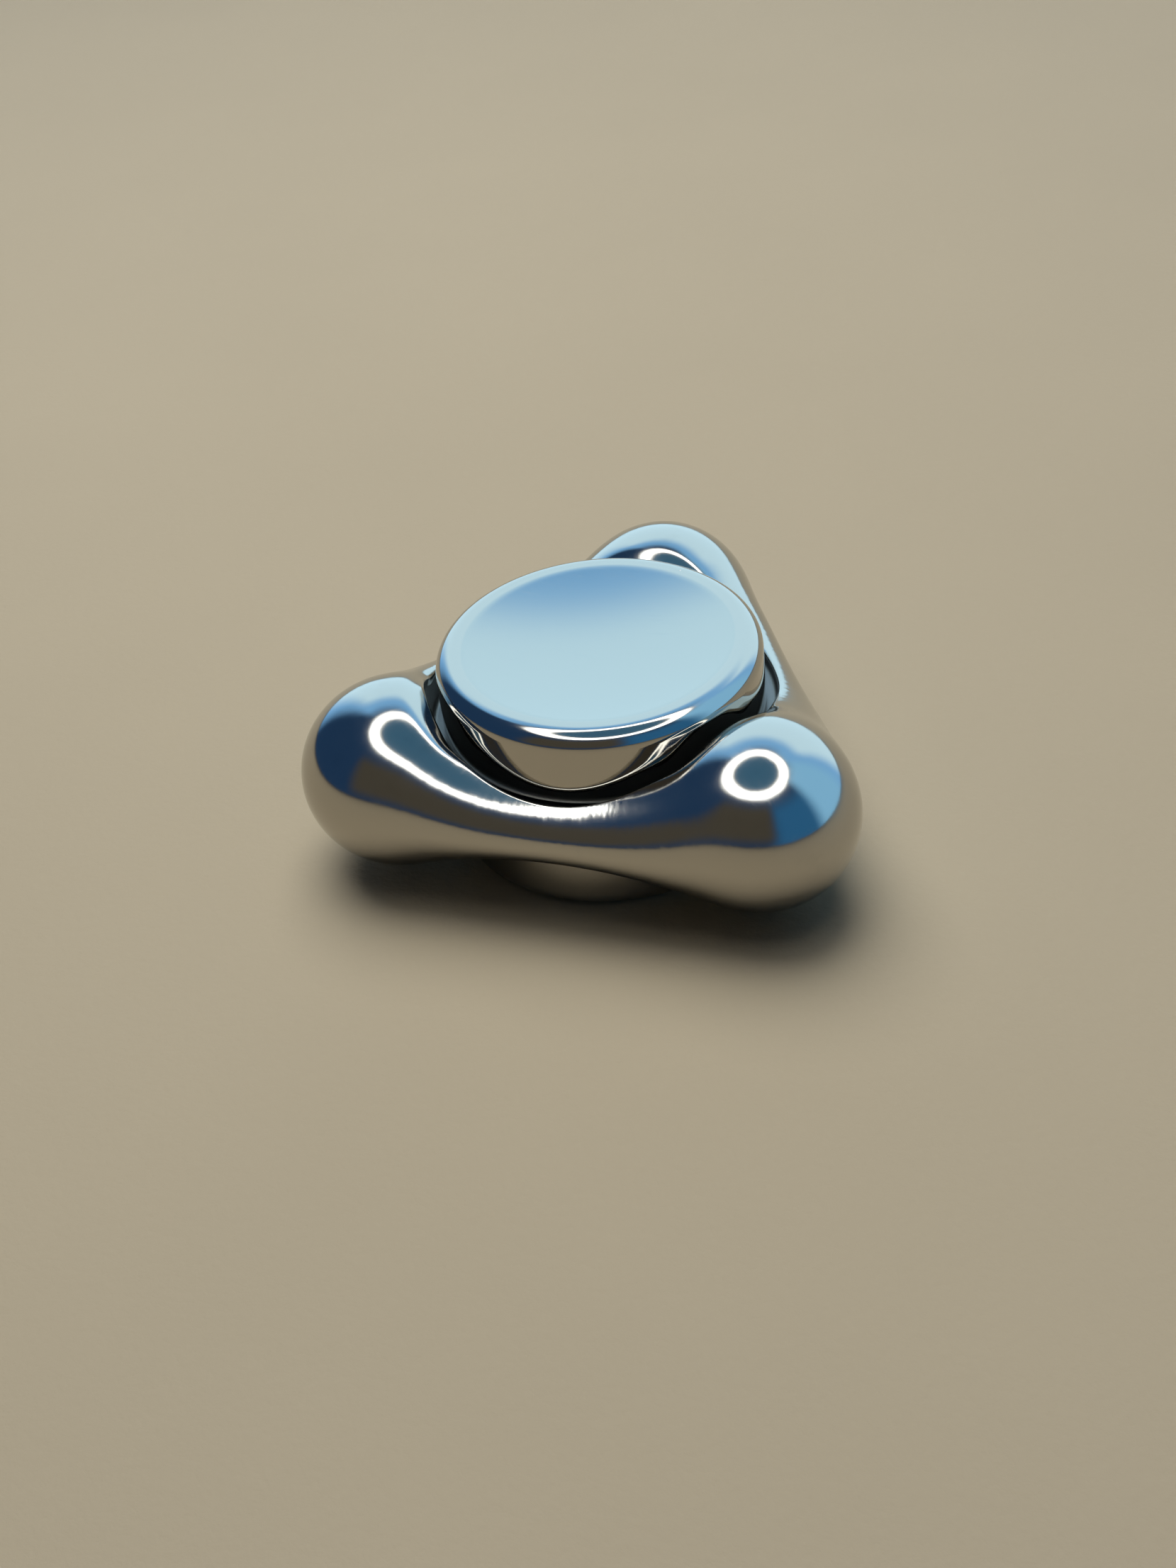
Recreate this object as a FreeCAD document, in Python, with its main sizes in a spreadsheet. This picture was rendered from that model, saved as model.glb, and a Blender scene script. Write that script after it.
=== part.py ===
"""Three-lobed pocket spinner: a polished body turning on a small ball bearing between two thumb caps.

Millimetres. The origin is the centre of the bearing, +Z is the spin axis and one lobe points to +Y.
Three rigid groups move: the caps, stud and inner race stay in the fingers, the body turns with
the outer race, and the cage carries the balls round between the races.
"""

import FreeCAD
import Part
import Sketcher

import math
import os

from FreeCAD import Placement, Rotation, Vector

DOCUMENT = FreeCAD.newDocument("pocket_spinner")
ORIGIN_POINT = (-1, 1)
FULL_TURN = 360.0
BISECTIONS = 36
NET_PASSES = 40
AZIMUTH_STEPS = 144
TILT_STEPS = 44
BALL_COUNT = 10
WIRE_HEIGHT = "Sizes.shield_seat_height + Sizes.shield_thickness + Sizes.wire_radius"

SIZES = {
    # Body: three ball lobes melted into waisted bars. A bar's sizes are given where it leaves
    # a lobe (root), half-way to its waist (middle) and at the waist.
    "lobe_centre_radius": 16.17,
    "lobe_radius": 6.8,
    "bar_root_centre": 15.1,
    "bar_middle_centre": 13.1,
    "bar_waist_centre": 9.5,
    "bar_root_reach": 20.4,
    "bar_middle_reach": 17.2,
    "bar_waist_reach": 14.95,
    "bar_root_half_height": 5.65,
    "bar_middle_half_height": 3.85,
    "bar_waist_half_height": 3.4,
    "bar_inner_width": 1.9,
    "bar_turn_over": 0.55,
    "blend_softness": 0.87,
    "section_inset": 0.3,
    # Body: recess for the caps, web and bearing seat
    "recess_radius": 12.9,
    "web_half_height": 1.6,
    "web_overlap": 0.5,
    "hub_radius": 8.2,
    "hub_half_height": 3.3,
    "hub_edge": 0.3,
    "seat_radius": 6.36,
    "seat_lip_radius": 5.75,
    "seat_slack": 0.01,
    "seat_lip_thickness": 0.5,
    "clip_groove_radius": 6.75,
    "clip_groove_width": 0.54,
    # Retaining clip above the bearing
    "clip_thickness": 0.5,
    "clip_outer_radius": 6.7,
    "clip_inner_radius": 5.85,
    "clip_gap_half_angle": 24.0,
    "clip_ear_radius": 0.8,
    "clip_ear_distance": 5.7,
    "clip_ear_angle": 32.0,
    "clip_hole_radius": 0.35,
    # Bearing: 1/4 inch bore, 1/2 inch outside, 3/16 inch wide, 1/16 inch balls
    "race_bore_radius": 3.175,
    "inner_shoulder_radius": 4.2,
    "outer_shoulder_radius": 5.33,
    "race_outer_radius": 6.35,
    "bearing_half_width": 2.38125,
    "race_edge_radius": 0.2,
    "pitch_radius": 4.7625,
    "ball_radius": 0.79375,
    "ball_clearance": 0.015,
    "track_radius": 0.825,
    # Cage between the races
    "cage_inner_radius": 4.4,
    "cage_outer_radius": 5.13,
    "cage_bottom": -1.3,
    "cage_top": 0.45,
    "cage_pocket_radius": 0.83,
    "cage_slot_width": 0.55,
    "cage_slot_floor": -0.3,
    # Shields and the wires that hold them
    "shield_seat_radius": 5.8,
    "shield_seat_height": 1.84,
    "shield_thickness": 0.16,
    "shield_step": 0.16,
    "shield_step_radius": 5.25,
    "shield_inner_radius": 4.32,
    "wire_radius": 0.13,
    "wire_ring_radius": 5.78,
    "wire_angle": 340.0,
    # Thumb caps
    "cap_radius": 12.0,
    "cap_half_height": 7.78,
    "cap_edge_radius": 1.4,
    "dish_radius": 9.96,
    "dish_depth": 1.0,
    "skirt_height": 1.9,
    "skirt_inner_radius": 10.4,
    "skirt_edge": 0.25,
    "cap_hollow_height": 4.4,
    "cap_boss_radius": 3.95,
    "spigot_radius": 3.16,
    "spigot_end": 0.5,
    # Stud that screws the caps together
    "stud_radius": 2.0,
    "stud_half_length": 4.5,
    "stud_edge": 0.3,
    "stud_hole_end": 5.0,
    "drill_point_length": 0.6,
    "hex_across_flats": 2.0,
    "hex_depth": 1.8,
}


# ---------------------------------------------------------------- sheet and sketches


def make_sheet():
    """The spreadsheet that holds every driving size under its own alias."""
    sheet = DOCUMENT.addObject("Spreadsheet::Sheet", "Sizes")
    for row, (alias, number) in enumerate(SIZES.items(), start=1):
        sheet.set(f"A{row}", alias)
        sheet.set(f"B{row}", str(number))
        sheet.setAlias(f"B{row}", alias)
    DOCUMENT.recompute()
    return sheet


SHEET = make_sheet()


def size(alias):
    """One number read back from the sheet."""
    return float(getattr(SHEET, alias))


def worth(expression):
    """The number that an expression on the sheet comes to."""
    return float(SHEET.evalExpression(expression))


def new_body(label):
    """An empty body whose label is its node's name."""
    body = DOCUMENT.addObject("PartDesign::Body", label)
    body.Label = label
    body.Placement = Placement()
    return body


def datum(body, role):
    """One of the body's own origin planes or axes."""
    return next(item for item in body.Origin.OriginFeatures if item.Role == role)


def new_sketch(body, name, plane, lift=None):
    """A sketch on one of the body's origin planes, lifted off it by an expression."""
    sketch = body.newObject("Sketcher::SketchObject", name)
    sketch.AttachmentSupport = [(datum(body, plane), "")]
    sketch.MapMode = "FlatFace"
    if lift:
        sketch.setExpression("AttachmentOffset.Base.z", lift)
    return sketch


def pin_point(sketch, side, end, across, up):
    """Holds a point of a sketch at two coordinates given as expressions."""
    for kind, axis, expression in (("DistanceX", -2, across), ("DistanceY", -1, up)):
        if expression == "0":
            sketch.addConstraint(Sketcher.Constraint("PointOnObject", side, end, axis))
            continue
        place = Sketcher.Constraint(kind, *ORIGIN_POINT, side, end, worth(expression))
        number = sketch.addConstraint(place)
        name = f"{kind.lower()}_{side}_{end}"
        sketch.renameConstraint(number, name)
        sketch.setExpression(f"Constraints.{name}", expression)


def add_side(sketch, start, stop, arc):
    """A straight or round side. Returns its number and which of its ends comes first."""
    if arc is None:
        return sketch.addGeometry(Part.LineSegment(start, stop)), (1, 2)
    centre_across, centre_up, anticlockwise = arc
    centre = Vector(worth(centre_across), worth(centre_up), 0)
    first, last = (start, stop) if anticlockwise else (stop, start)
    angles = [math.atan2(p.y - centre.y, p.x - centre.x) for p in (first, last)]
    if angles[1] < angles[0]:
        angles[1] += 2 * math.pi
    circle = Part.Circle(centre, Vector(0, 0, 1), centre.distanceToPoint(first))
    number = sketch.addGeometry(Part.ArcOfCircle(circle, *angles))
    return number, ((1, 2) if anticlockwise else (2, 1))


def outline(body, name, plane, corners, arcs=None, lift=None):
    """A closed sketch through corners, each an (across, up) pair of expressions.

    arcs gives a round side, by the number of the corner it starts from, as
    (centre across, centre up, anticlockwise). Its centre is held only across.
    """
    arcs = arcs or {}
    sketch = new_sketch(body, name, plane, lift)
    points = [Vector(worth(across), worth(up), 0) for across, up in corners]
    sides = []
    for index, start in enumerate(points):
        stop = points[(index + 1) % len(points)]
        sides.append(add_side(sketch, start, stop, arcs.get(index)))
    for index, (side, ends) in enumerate(sides):
        last_side, last_ends = sides[index - 1]
        join = Sketcher.Constraint("Coincident", last_side, last_ends[1], side, ends[0])
        sketch.addConstraint(join)
        pin_point(sketch, side, ends[0], *corners[index])
    for index, (centre_across, _, _) in arcs.items():
        pin_centre_across(sketch, sides[index][0], centre_across)
    return sketch


def pin_centre_across(sketch, side, expression):
    """Holds the centre of an arc at one coordinate, because its ends fix the other."""
    if expression == "0":
        sketch.addConstraint(Sketcher.Constraint("PointOnObject", side, 3, -2))
        return
    place = Sketcher.Constraint("DistanceX", *ORIGIN_POINT, side, 3, worth(expression))
    number = sketch.addConstraint(place)
    sketch.renameConstraint(number, f"centre_{side}")
    sketch.setExpression(f"Constraints.centre_{side}", expression)


def circles(body, name, plane, centres, radius, lift=None):
    """A sketch of equal circles, their centres and radius given as expressions."""
    sketch = new_sketch(body, name, plane, lift)
    for across, up in centres:
        centre = Vector(worth(across), worth(up), 0)
        ring = Part.Circle(centre, Vector(0, 0, 1), worth(radius))
        side = sketch.addGeometry(ring)
        pin_point(sketch, side, 3, across, up)
        number = sketch.addConstraint(Sketcher.Constraint("Radius", side, worth(radius)))
        sketch.renameConstraint(number, f"radius_{side}")
        sketch.setExpression(f"Constraints.radius_{side}", radius)
    return sketch


# ---------------------------------------------------------------- features


def revolve(body, name, sketch, angle=None):
    """Turns a sketch round the spin axis, all the way unless an angle is given."""
    feature = body.newObject("PartDesign::Revolution", name)
    feature.Profile = sketch
    feature.ReferenceAxis = (sketch, ["V_Axis"])
    feature.Angle = FULL_TURN
    if angle:
        feature.setExpression("Angle", angle)
    DOCUMENT.recompute()
    return feature


def groove(body, name, sketch):
    """Cuts a sketch out all the way round the spin axis."""
    before = body.Shape.Volume
    feature = body.newObject("PartDesign::Groove", name)
    feature.Profile = sketch
    feature.ReferenceAxis = (sketch, ["V_Axis"])
    feature.Angle = FULL_TURN
    DOCUMENT.recompute()
    check_it_cuts(body, before, name)
    return feature


def pad(body, name, sketch, length):
    """Raises a sketch along its normal."""
    feature = body.newObject("PartDesign::Pad", name)
    feature.Profile = sketch
    feature.setExpression("Length", length)
    DOCUMENT.recompute()
    return feature


def pocket(body, name, sketch, length, upwards=False):
    """Cuts a sketch into the body below it, or above it."""
    before = body.Shape.Volume
    feature = body.newObject("PartDesign::Pocket", name)
    feature.Profile = sketch
    feature.Reversed = upwards
    feature.setExpression("Length", length)
    DOCUMENT.recompute()
    check_it_cuts(body, before, name)
    return feature


def check_it_cuts(body, before, name):
    """Stops if a cut left the body as it was."""
    if body.Shape.Volume > before - 1e-6:
        raise RuntimeError(f"{name} of {body.Label} cuts nothing")


def round_edges(feature, places):
    """Names of the circular edges at the given (radius, height) pairs of expressions."""
    wanted = [(worth(radius), worth(height)) for radius, height in places]
    names = []
    for number, edge in enumerate(feature.Shape.Edges, start=1):
        if edge.Degenerated or not isinstance(edge.Curve, Part.Circle):
            continue
        found = (edge.Curve.Radius, edge.Curve.Center.z)
        if any(math.dist(found, place) < 1e-4 for place in wanted):
            names.append(f"Edge{number}")
    if len(names) < len(places):
        raise RuntimeError(f"{feature.Label} lacks an edge to dress")
    return names


def dress(body, kind, base, places, amount):
    """A PartDesign Fillet or Chamfer on the edges at (radius, height) pairs."""
    feature = body.newObject(f"PartDesign::{kind}", kind.lower())
    feature.Base = (base, round_edges(base, places))
    feature.setExpression("Radius" if kind == "Fillet" else "Size", amount)
    DOCUMENT.recompute()
    body.Tip = feature
    return feature


def repeat_round(body, name, feature, count):
    """Repeats a feature evenly round the spin axis."""
    pattern = body.newObject("PartDesign::PolarPattern", name)
    pattern.Originals = [feature]
    pattern.Axis = (datum(body, "Z_Axis"), [""])
    pattern.Angle = FULL_TURN
    pattern.Occurrences = count
    DOCUMENT.recompute()
    body.Tip = pattern
    return pattern


# ---------------------------------------------------------------- thumb caps and stud


def make_cap(label, flipped):
    """A hollow thumb cap: dished top, round edge, straight skirt, boss and spigot with a blind hole."""
    body = new_body(label)
    corners = [
        ("0", "Sizes.cap_half_height - Sizes.dish_depth"),
        ("Sizes.dish_radius", "Sizes.cap_half_height"),
        ("Sizes.cap_radius - Sizes.cap_edge_radius", "Sizes.cap_half_height"),
        ("Sizes.cap_radius", "Sizes.cap_half_height - Sizes.cap_edge_radius"),
        ("Sizes.cap_radius", "Sizes.skirt_height"),
        ("Sizes.skirt_inner_radius", "Sizes.skirt_height"),
        ("Sizes.skirt_inner_radius", "Sizes.cap_hollow_height"),
        ("Sizes.cap_boss_radius", "Sizes.cap_hollow_height"),
        ("Sizes.cap_boss_radius", "Sizes.bearing_half_width"),
        ("Sizes.spigot_radius", "Sizes.bearing_half_width"),
        ("Sizes.spigot_radius", "Sizes.spigot_end"),
        ("Sizes.stud_radius", "Sizes.spigot_end"),
        ("Sizes.stud_radius", "Sizes.stud_hole_end"),
        ("0", "Sizes.stud_hole_end + Sizes.drill_point_length"),
    ]
    # A sphere through the dish's middle and rim has this radius.
    dish_sphere = (
        "(Sizes.dish_radius * Sizes.dish_radius + Sizes.dish_depth * Sizes.dish_depth)"
        " / (2 * Sizes.dish_depth)"
    )
    dish_centre = f"Sizes.cap_half_height - Sizes.dish_depth + {dish_sphere}"
    edge_centre = "Sizes.cap_radius - Sizes.cap_edge_radius"
    arcs = {
        0: ("0", dish_centre, True),
        2: (edge_centre, "Sizes.cap_half_height - Sizes.cap_edge_radius", False),
    }
    profile = outline(body, "cap_profile", "XZ_Plane", corners, arcs)
    turned = revolve(body, "cap_turning", profile)
    rims = [
        ("Sizes.cap_radius", "Sizes.skirt_height"),
        ("Sizes.skirt_inner_radius", "Sizes.skirt_height"),
    ]
    dress(body, "Chamfer", turned, rims, "Sizes.skirt_edge")
    if flipped:
        body.Placement = Placement(Vector(), Rotation(Vector(1, 0, 0), 180))
    return body


def make_stud():
    """The grub screw that pulls the two caps together through the inner race."""
    body = new_body("clamp_stud")
    corners = [
        ("0", "-Sizes.stud_half_length"),
        ("Sizes.stud_radius", "-Sizes.stud_half_length"),
        ("Sizes.stud_radius", "Sizes.stud_half_length"),
        ("0", "Sizes.stud_half_length"),
    ]
    profile = outline(body, "stud_profile", "XZ_Plane", corners)
    turned = revolve(body, "stud_turning", profile)
    ends = [
        ("Sizes.stud_radius", "Sizes.stud_half_length"),
        ("Sizes.stud_radius", "-Sizes.stud_half_length"),
    ]
    dress(body, "Chamfer", turned, ends, "Sizes.stud_edge")
    corner = "Sizes.hex_across_flats / (2 * cos(30 deg))"
    hexagon = []
    for index in range(6):
        angle = f"{60 * index + 30} deg"
        hexagon.append((f"{corner} * cos({angle})", f"{corner} * sin({angle})"))
    hexagon[1] = ("0", corner)
    hexagon[4] = ("0", f"-({corner})")
    socket = outline(body, "hex_socket", "XY_Plane", hexagon, lift="Sizes.stud_half_length")
    pocket(body, "hex_pocket", socket, "Sizes.hex_depth")
    return body


# ---------------------------------------------------------------- bearing


def make_inner_race():
    """Inner race: a ring with the ball track round its outside."""
    body = new_body("bearing_inner_race")
    corners = [
        ("Sizes.race_bore_radius", "-Sizes.bearing_half_width"),
        ("Sizes.inner_shoulder_radius", "-Sizes.bearing_half_width"),
        ("Sizes.inner_shoulder_radius", "Sizes.bearing_half_width"),
        ("Sizes.race_bore_radius", "Sizes.bearing_half_width"),
    ]
    profile = outline(body, "race_profile", "XZ_Plane", corners)
    revolve(body, "race_turning", profile)
    bottom = "Sizes.pitch_radius - Sizes.ball_radius - Sizes.ball_clearance"
    centre = (f"{bottom} + Sizes.track_radius", "0")
    track = circles(body, "track_profile", "XZ_Plane", [centre], "Sizes.track_radius")
    ground = groove(body, "ball_track", track)
    ends = [
        ("Sizes.race_bore_radius", "Sizes.bearing_half_width"),
        ("Sizes.race_bore_radius", "-Sizes.bearing_half_width"),
    ]
    dress(body, "Fillet", ground, ends, "Sizes.race_edge_radius")
    return body


def make_outer_race():
    """Outer race: ball track inside, a stepped seat and a wire groove at each side for the shields."""
    body = new_body("bearing_outer_race")
    corners = [
        ("Sizes.outer_shoulder_radius", "-Sizes.shield_seat_height"),
        ("Sizes.shield_seat_radius", "-Sizes.shield_seat_height"),
        ("Sizes.shield_seat_radius", "-Sizes.bearing_half_width"),
        ("Sizes.race_outer_radius", "-Sizes.bearing_half_width"),
        ("Sizes.race_outer_radius", "Sizes.bearing_half_width"),
        ("Sizes.shield_seat_radius", "Sizes.bearing_half_width"),
        ("Sizes.shield_seat_radius", "Sizes.shield_seat_height"),
        ("Sizes.outer_shoulder_radius", "Sizes.shield_seat_height"),
    ]
    profile = outline(body, "race_profile", "XZ_Plane", corners)
    revolve(body, "race_turning", profile)
    bottom = "Sizes.pitch_radius + Sizes.ball_radius + Sizes.ball_clearance"
    centre = (f"{bottom} - Sizes.track_radius", "0")
    track = circles(body, "track_profile", "XZ_Plane", [centre], "Sizes.track_radius")
    groove(body, "ball_track", track)
    wires = [("Sizes.wire_ring_radius", WIRE_HEIGHT), ("Sizes.wire_ring_radius", f"-({WIRE_HEIGHT})")]
    seats = circles(body, "wire_profile", "XZ_Plane", wires, "Sizes.wire_radius")
    grooved = groove(body, "wire_grooves", seats)
    ends = [
        ("Sizes.race_outer_radius", "Sizes.bearing_half_width"),
        ("Sizes.race_outer_radius", "-Sizes.bearing_half_width"),
    ]
    dress(body, "Fillet", grooved, ends, "Sizes.race_edge_radius")
    return body


def make_shield(label, flipped):
    """A stepped sheet-steel shield. It sits in the outer race and clears the inner one."""
    body = new_body(label)
    seat = "Sizes.shield_seat_height"
    top = f"{seat} + Sizes.shield_thickness"
    corners = [
        ("Sizes.shield_inner_radius", f"{seat} + Sizes.shield_step"),
        ("Sizes.shield_step_radius - Sizes.shield_thickness", f"{seat} + Sizes.shield_step"),
        ("Sizes.shield_step_radius", seat),
        ("Sizes.shield_seat_radius", seat),
        ("Sizes.shield_seat_radius", top),
        ("Sizes.shield_step_radius + Sizes.shield_thickness / 2", top),
        ("Sizes.shield_step_radius - Sizes.shield_thickness / 2", f"{top} + Sizes.shield_step"),
        ("Sizes.shield_inner_radius", f"{top} + Sizes.shield_step"),
    ]
    profile = outline(body, "shield_profile", "XZ_Plane", corners)
    revolve(body, "shield_pressing", profile)
    if flipped:
        body.Placement = Placement(Vector(), Rotation(Vector(1, 0, 0), 180))
    return body


def make_wire(label, flipped):
    """The split spring wire that holds a shield in the outer race."""
    body = new_body(label)
    centre = [("Sizes.wire_ring_radius", WIRE_HEIGHT)]
    profile = circles(body, "wire_profile", "XZ_Plane", centre, "Sizes.wire_radius")
    revolve(body, "wire_ring", profile, "Sizes.wire_angle")
    if flipped:
        body.Placement = Placement(Vector(), Rotation(Vector(1, 0, 0), 180))
    return body


def make_cage():
    """Crown cage: a ring with a snap-in pocket for each ball and a slot between pockets."""
    body = new_body("bearing_cage")
    corners = [
        ("Sizes.cage_inner_radius", "Sizes.cage_bottom"),
        ("Sizes.cage_outer_radius", "Sizes.cage_bottom"),
        ("Sizes.cage_outer_radius", "Sizes.cage_top"),
        ("Sizes.cage_inner_radius", "Sizes.cage_top"),
    ]
    profile = outline(body, "cage_profile", "XZ_Plane", corners)
    revolve(body, "cage_ring", profile)
    ball_pocket = body.newObject("PartDesign::SubtractiveSphere", "ball_pocket")
    ball_pocket.setExpression("Radius", "Sizes.cage_pocket_radius")
    ball_pocket.setExpression("Placement.Base.x", "Sizes.pitch_radius")
    DOCUMENT.recompute()
    repeat_round(body, "ball_pockets", ball_pocket, BALL_COUNT)
    slot = body.newObject("PartDesign::SubtractiveBox", "prong_slot")
    slot.setExpression("Length", "Sizes.race_outer_radius")
    slot.setExpression("Width", "Sizes.cage_slot_width")
    slot.setExpression("Height", "Sizes.ball_radius * 2")
    slot.Placement = slot_placement()
    DOCUMENT.recompute()
    repeat_round(body, "prong_slots", slot, BALL_COUNT)
    return body


def slot_placement():
    """Where the first prong slot lies: half a ball pitch round, centred on its width."""
    turn = Rotation(Vector(0, 0, 1), FULL_TURN / BALL_COUNT / 2)
    corner = turn.multVec(Vector(0, -size("cage_slot_width") / 2, size("cage_slot_floor")))
    return Placement(corner, turn)


def make_ball(number):
    """One ball of the bearing, on the pitch circle."""
    ball = DOCUMENT.addObject("Part::Sphere", f"bearing_ball_{number:02d}")
    ball.Label = f"bearing_ball_{number:02d}"
    angle = f"{number - 1} * 360 deg / {BALL_COUNT}"
    ball.setExpression("Radius", "Sizes.ball_radius")
    ball.setExpression("Placement.Base.x", f"Sizes.pitch_radius * cos({angle})")
    ball.setExpression("Placement.Base.y", f"Sizes.pitch_radius * sin({angle})")
    return ball


# ---------------------------------------------------------------- retaining clip


def make_clip():
    """The split clip with two plier ears that keeps the bearing down on its seat."""
    body = new_body("bearing_clip")
    lift = "Sizes.bearing_half_width + Sizes.seat_slack"
    gap = "Sizes.clip_gap_half_angle * 1 deg"
    corners = []
    for reach, side in (("outer", ""), ("outer", "-"), ("inner", "-"), ("inner", "")):
        radius = f"Sizes.clip_{reach}_radius"
        corners.append((f"{radius} * cos({gap})", f"{side}{radius} * sin({gap})"))
    arcs = {0: ("0", "0", True), 2: ("0", "0", False)}
    profile = outline(body, "clip_profile", "XY_Plane", corners, arcs, lift)
    pad(body, "clip_blank", profile, "Sizes.clip_thickness")
    ears = []
    for side in ("", "-"):
        distance = "Sizes.clip_ear_distance"
        turn = "Sizes.clip_ear_angle * 1 deg"
        ears.append((f"{distance} * cos({turn})", f"{side}{distance} * sin({turn})"))
    lugs = circles(body, "ear_profile", "XY_Plane", ears, "Sizes.clip_ear_radius", lift)
    pad(body, "ears", lugs, "Sizes.clip_thickness")
    holes = circles(body, "ear_hole_profile", "XY_Plane", ears, "Sizes.clip_hole_radius", lift)
    pocket(body, "ear_holes", holes, "Sizes.clip_thickness", upwards=True)
    return body


# ---------------------------------------------------------------- spinner body


def along_bar(quantity, azimuth):
    """A bar's size at an azimuth from a lobe, drawn smoothly through its three given values."""
    root, middle, waist = (size(f"bar_{place}_{quantity}") for place in ("root", "middle", "waist"))
    once = math.cos(3 * azimuth) * (root - waist) / 2
    twice = math.cos(6 * azimuth) * (root - 2 * middle + waist) / 4
    return (root + 2 * middle + waist) / 4 + once + twice


def blended_depth(radius, azimuth, height):
    """How deep a point lies inside the lobes and bars, melted together by a soft maximum.

    The azimuth is counted from a lobe. A bar's section is an oval, narrower on its inner side,
    that shrinks from the lobes to the waist between them.
    """
    half_height = along_bar("half_height", azimuth)
    centre = along_bar("centre", azimuth)
    outer_width = along_bar("reach", azimuth) - centre
    outwards = 1 / (1 + math.exp((centre - radius) / size("bar_turn_over")))
    inner_width = size("bar_inner_width")
    width = inner_width + (outer_width - inner_width) * outwards
    off_centre = math.hypot((radius - centre) / width, height / half_height)
    depths = [(1 - off_centre) * half_height]
    for lobe in range(3):
        turn = azimuth - lobe * math.tau / 3
        across = radius * math.cos(turn) - size("lobe_centre_radius")
        gap = math.hypot(across, radius * math.sin(turn), height)
        depths.append(size("lobe_radius") - gap)
    softness = size("blend_softness")
    most = max(depths)
    return most + softness * math.log(sum(math.exp((d - most) / softness) for d in depths))


def skin_point(azimuth, tilt):
    """The point of the melted surface on a ray from the middle of its section."""
    swell = (1 + math.cos(3 * azimuth)) / 2
    inner = size("recess_radius") + size("section_inset")
    middle = inner + (size("lobe_centre_radius") - inner) * swell
    near, far = 0.0, size("cap_radius")
    for _ in range(BISECTIONS):
        reach = (near + far) / 2
        radius = middle + reach * math.cos(tilt)
        if radius > 0 and blended_depth(radius, azimuth, reach * math.sin(tilt)) > 0:
            near = reach
        else:
            far = reach
    radius = middle + near * math.cos(tilt)
    lobe_turn = azimuth + math.pi / 2
    x = radius * math.cos(lobe_turn)
    y = radius * math.sin(lobe_turn)
    return Vector(x, y, near * math.sin(tilt))


def smooth_net(points):
    """Poles of the closed cubic surface that passes through a grid of points.

    At each knot a uniform cubic is a sixth, two thirds and a sixth of three poles, so the poles
    are pushed out until that average comes back to the points, first one way and then the other.
    """
    rows = [push_out(row) for row in points]
    columns = [push_out(list(column)) for column in zip(*rows)]
    return [list(row) for row in zip(*columns)]


def push_out(points):
    """Poles of the closed uniform cubic through a ring of points."""
    poles = list(points)
    for _ in range(NET_PASSES):
        missed = []
        for index, point in enumerate(points):
            after = poles[(index + 1) % len(poles)]
            average = (poles[index - 1] + poles[index] * 4 + after) / 6
            missed.append(point - average)
        poles = [pole + miss for pole, miss in zip(poles, missed)]
    return poles


def closed_surface():
    """The melted ring as one cubic surface, closed both round the axis and round its section."""
    grid = []
    for row in range(AZIMUTH_STEPS):
        azimuth = math.tau * row / AZIMUTH_STEPS
        tilts = [math.tau * column / TILT_STEPS for column in range(TILT_STEPS)]
        grid.append([skin_point(azimuth, tilt) for tilt in tilts])
    azimuth_knots = [float(knot) for knot in range(AZIMUTH_STEPS + 1)]
    tilt_knots = [float(knot) for knot in range(TILT_STEPS + 1)]
    single = [[1] * len(knots) for knots in (azimuth_knots, tilt_knots)]
    surface = Part.BSplineSurface()
    surface.buildFromPolesMultsKnots(
        smooth_net(grid), *single, azimuth_knots, tilt_knots, True, True, 3, 3
    )
    return surface


def make_skin():
    """The melted ring as a solid, its surface split into an upper and a lower patch per lobe."""
    surface = closed_surface()
    sector = AZIMUTH_STEPS / 3
    half = TILT_STEPS / 2
    patches = []
    for lobe in range(3):
        for side in range(2):
            patch = surface.copy()
            patch.segment(lobe * sector, (lobe + 1) * sector, side * half, (side + 1) * half)
            patches.append(patch.toShape())
    sewn = Part.Compound(patches)
    sewn.sewShape()
    solid = Part.Solid(sewn.Shells[0])
    if solid.Volume < 0:
        solid.reverse()
    skin = DOCUMENT.addObject("Part::Feature", "melted_ring")
    skin.Shape = solid
    return skin


def make_core():
    """The turned middle of the body: web, hub, bearing seat with its lip, and clip groove."""
    body = new_body("turned_core")
    web = "Sizes.recess_radius + Sizes.web_overlap"
    seat = "Sizes.bearing_half_width + Sizes.seat_slack"
    corners = [
        ("Sizes.seat_lip_radius", f"-({seat} + Sizes.seat_lip_thickness)"),
        ("Sizes.hub_radius", f"-({seat} + Sizes.seat_lip_thickness)"),
        ("Sizes.hub_radius", "-Sizes.web_half_height"),
        (web, "-Sizes.web_half_height"),
        (web, "Sizes.web_half_height"),
        ("Sizes.hub_radius", "Sizes.web_half_height"),
        ("Sizes.hub_radius", "Sizes.hub_half_height"),
        ("Sizes.seat_radius", "Sizes.hub_half_height"),
        ("Sizes.seat_radius", f"{seat} + Sizes.clip_groove_width"),
        ("Sizes.clip_groove_radius", f"{seat} + Sizes.clip_groove_width"),
        ("Sizes.clip_groove_radius", seat),
        ("Sizes.seat_radius", seat),
        ("Sizes.seat_radius", f"-({seat})"),
        ("Sizes.seat_lip_radius", f"-({seat})"),
    ]
    profile = outline(body, "core_profile", "XZ_Plane", corners)
    turned = revolve(body, "core_turning", profile)
    rims = [
        ("Sizes.hub_radius", "Sizes.hub_half_height"),
        ("Sizes.hub_radius", f"-({seat} + Sizes.seat_lip_thickness)"),
    ]
    dress(body, "Chamfer", turned, rims, "Sizes.hub_edge")
    return body


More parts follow.
